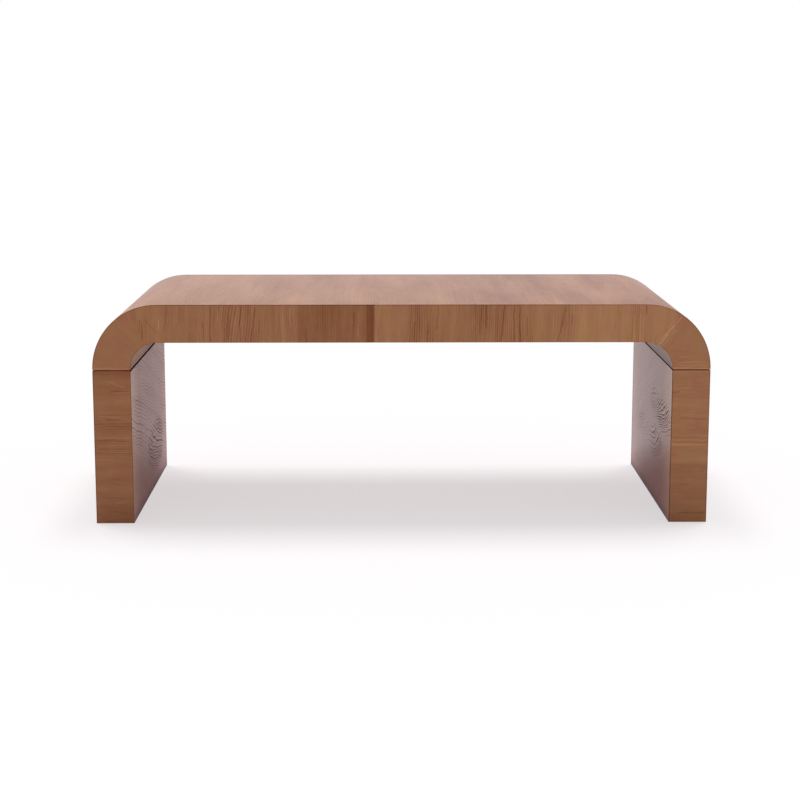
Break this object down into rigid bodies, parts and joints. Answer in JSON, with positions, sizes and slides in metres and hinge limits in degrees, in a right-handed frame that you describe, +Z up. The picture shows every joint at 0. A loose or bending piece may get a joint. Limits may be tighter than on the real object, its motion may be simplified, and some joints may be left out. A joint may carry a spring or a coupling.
{
  "type": "waterfall coffee table",
  "caption": "Low table whose thick veneered top bends down at both ends and runs on into two flat panel legs, with a thin shadow gap at each joint.",
  "frame": {"origin": "on the floor, under the middle of the table", "axes": "+X along the table's length, +Y from front to back, +Z up"},
  "size_m": [1.2, 0.55, 0.433],
  "materials": {
    "face_veneer": "satin lacquered brown veneer, grain from front to back",
    "edge_band": "satin lacquered brown veneer band, grain across the edge",
    "panel_board": "sealed fibreboard",
    "moulded_plywood": "plain",
    "core_timber": "plain",
    "dowel_wood": "plain",
    "bolt_steel": "zinc plated",
    "insert_brass": "plain",
    "glide_plastic": "moulded nylon"
  },
  "bodies": {
    "root": {"back_edge_band": "edge_band", "back_left_bend_band": "edge_band", "back_right_bend_band": "edge_band", "bend_splines": "moulded_plywood", "cross_rib_1": "core_timber", "cross_rib_2": "core_timber", "cross_rib_3": "core_timber", "cross_rib_4": "core_timber", "cross_rib_5": "core_timber", "front_edge_band": "edge_band", "front_left_bend_band": "edge_band", "front_right_bend_band": "edge_band", "glides": "glide_plastic", "left_bend_ribs": "core_timber", "left_inner_bend": "moulded_plywood", "left_joint_rail": "core_timber", "left_leg_back_band": "edge_band", "left_leg_back_stile": "core_timber", "left_leg_bottom_rail": "core_timber", "left_leg_front_band": "edge_band", "left_leg_front_stile": "core_timber", "left_leg_inner_panel": "panel_board", "left_leg_inner_veneer": "face_veneer", "left_leg_middle_stile": "core_timber", "left_leg_outer_panel": "panel_board", "left_leg_outer_veneer": "face_veneer", "left_leg_top_rail": "core_timber", "left_outer_bend": "moulded_plywood", "right_bend_ribs": "core_timber", "right_inner_bend": "moulded_plywood", "right_joint_rail": "core_timber", "right_leg_back_band": "edge_band", "right_leg_back_stile": "core_timber", "right_leg_bottom_rail": "core_timber", "right_leg_front_band": "edge_band", "right_leg_front_stile": "core_timber", "right_leg_inner_panel": "panel_board", "right_leg_inner_veneer": "face_veneer", "right_leg_middle_stile": "core_timber", "right_leg_outer_panel": "panel_board", "right_leg_outer_veneer": "face_veneer", "right_leg_top_rail": "core_timber", "right_outer_bend": "moulded_plywood", "seam_dowels": "dowel_wood", "threaded_inserts": "insert_brass", "tie_bolts": "bolt_steel", "top_back_rail": "core_timber", "top_front_rail": "core_timber", "top_panel": "panel_board", "top_veneer": "face_veneer", "underside_panel": "panel_board", "underside_veneer": "face_veneer"}
  },
  "joints": []
}
